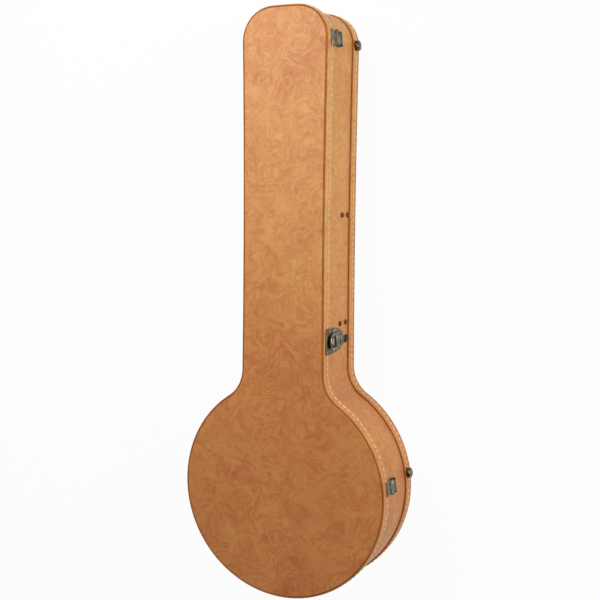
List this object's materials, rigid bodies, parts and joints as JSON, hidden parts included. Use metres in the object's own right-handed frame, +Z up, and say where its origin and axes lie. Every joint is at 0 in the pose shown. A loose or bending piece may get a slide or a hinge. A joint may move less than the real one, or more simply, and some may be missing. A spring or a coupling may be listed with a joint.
{
  "type": "banjo case",
  "caption": "Hard case for a resonator banjo: round pot end, long neck, hinged lid, draw latches and a key lock, plush lining with an accessory compartment.",
  "frame": {"origin": "on the outer face of the back, under the centre of the round pot end", "axes": "case lying on its back: +Z up through the lid, +Y from the pot towards the headstock end, +X towards the side with the latches"},
  "size_m": [0.3986, 1.0286, 0.1375],
  "materials": {
    "panel_cover": "plywood covered in marbled tan vinyl, satin",
    "side_cover": "plywood covered in marbled tan vinyl, satin",
    "stitched_band": "tan vinyl edge band with a yellow stitched line",
    "piping": "dark rust-brown vinyl piping",
    "plush_board": "board covered in short wine-red plush",
    "plush_pad": "padding covered in short wine-red plush",
    "leather_tab": "brown leather tab",
    "black_grip": "black finger grip",
    "aged_steel": "dull plated steel, darkened with age",
    "aged_bronze": "bronze-toned plated steel, darkened with age"
  },
  "bodies": {
    "case_body": {"back_panel": "panel_cover", "body_side_wall": "side_cover", "back_edge_band": "stitched_band", "back_corner_piping": "piping", "back_band_welt": "piping", "body_inner_lip": "plush_board", "body_side_lining": "plush_pad", "body_base_lining": "plush_pad", "pot_bolster": "plush_pad", "pot_cushion": "plush_pad", "neck_cradle": "plush_pad", "headstock_pad": "plush_pad", "compartment_partition": "plush_board", "flap_cleat": "plush_board", "low_hinge_body_leaf": "aged_bronze", "pot_hinge_body_leaf": "aged_bronze", "headstock_hinge_body_leaf": "aged_bronze", "low_hinge_pin": "aged_bronze", "pot_hinge_pin": "aged_bronze", "headstock_hinge_pin": "aged_bronze", "top_latch_base": "aged_bronze", "lock_base": "aged_bronze", "low_latch_base": "aged_bronze", "top_latch_pin": "aged_bronze", "lock_pin": "aged_bronze", "low_latch_pin": "aged_bronze", "latch_side_top_button": "aged_bronze", "latch_side_low_button": "aged_bronze", "hinge_side_top_button": "aged_bronze", "hinge_side_low_button": "aged_bronze", "handle_rivet_1_1": "aged_bronze", "handle_rivet_1_2": "aged_bronze", "handle_rivet_2_1": "aged_bronze", "handle_rivet_2_2": "aged_bronze"},
    "lid": {"lid_panel": "panel_cover", "lid_side_wall": "side_cover", "lid_edge_band": "stitched_band", "lid_corner_piping": "piping", "lid_lining": "plush_pad", "low_hinge_lid_leaf": "aged_bronze", "pot_hinge_lid_leaf": "aged_bronze", "headstock_hinge_lid_leaf": "aged_bronze", "top_latch_catch": "aged_bronze", "lock_catch": "aged_bronze", "low_latch_catch": "aged_bronze"},
    "compartment_flap": {"compartment_flap": "plush_board", "flap_pull_tab": "leather_tab"},
    "top_latch_lever": {"top_latch_lever": "aged_steel"},
    "top_latch_bail": {"top_latch_bail": "aged_steel"},
    "lock_lever": {"lock_lever": "aged_steel", "lock_finger_grip": "black_grip"},
    "lock_bail": {"lock_bail": "aged_steel"},
    "low_latch_lever": {"low_latch_lever": "aged_steel"},
    "low_latch_bail": {"low_latch_bail": "aged_steel"},
    "key_plug": {"lock_key_plug": "aged_steel"}
  },
  "joints": [
    {"name": "lid_hinge", "type": "hinge", "parent": "case_body", "child": "lid", "pos_m": [-0.19159, 0.02785, 0.0992], "axis": [-0.1438, -0.9896, 0], "range_deg": [0, 105]},
    {"name": "flap_hinge", "type": "hinge", "parent": "case_body", "child": "compartment_flap", "pos_m": [-0.0622, 0.43, 0.062], "axis": [0, -1, 0], "range_deg": [0, 84]},
    {"name": "top_latch_lever_hinge", "type": "hinge", "parent": "case_body", "child": "top_latch_lever", "pos_m": [0.08095, 0.7802, 0.095], "axis": [0.1123, -0.9937, 0], "range_deg": [0, 100]},
    {"name": "top_latch_bail_pivot", "type": "hinge", "parent": "top_latch_lever", "child": "top_latch_bail", "pos_m": [0.08124, 0.78024, 0.0878], "axis": [0.1123, -0.9937, 0], "range_deg": [-100, 0]},
    {"name": "lock_lever_hinge", "type": "hinge", "parent": "case_body", "child": "lock_lever", "pos_m": [0.08086, 0.26608, 0.0927], "axis": [0.0074, -1, 0], "range_deg": [0, 100]},
    {"name": "lock_bail_pivot", "type": "hinge", "parent": "lock_lever", "child": "lock_bail", "pos_m": [0.08086, 0.26608, 0.0727], "axis": [0.0074, -1, 0], "range_deg": [-100, 0]},
    {"name": "key_turn", "type": "hinge", "parent": "lid", "child": "key_plug", "pos_m": [0.08086, 0.26608, 0.1098], "axis": [1, 0.0074, 0], "range_deg": [0, 90]},
    {"name": "low_latch_lever_hinge", "type": "hinge", "parent": "case_body", "child": "low_latch_lever", "pos_m": [0.19205, 0.02257, 0.095], "axis": [0.1576, -0.9875, 0], "range_deg": [0, 100]},
    {"name": "low_latch_bail_pivot", "type": "hinge", "parent": "low_latch_lever", "child": "low_latch_bail", "pos_m": [0.19235, 0.02261, 0.0878], "axis": [0.1576, -0.9875, 0], "range_deg": [-100, 0]}
  ],
  "couplings": [
    {"joint": "flap_hinge", "follows": "lid_hinge", "ratio": 0.8},
    {"joint": "top_latch_bail_pivot", "follows": "top_latch_lever_hinge", "ratio": -1},
    {"joint": "lock_bail_pivot", "follows": "lock_lever_hinge", "ratio": -1},
    {"joint": "low_latch_bail_pivot", "follows": "low_latch_lever_hinge", "ratio": -1}
  ]
}
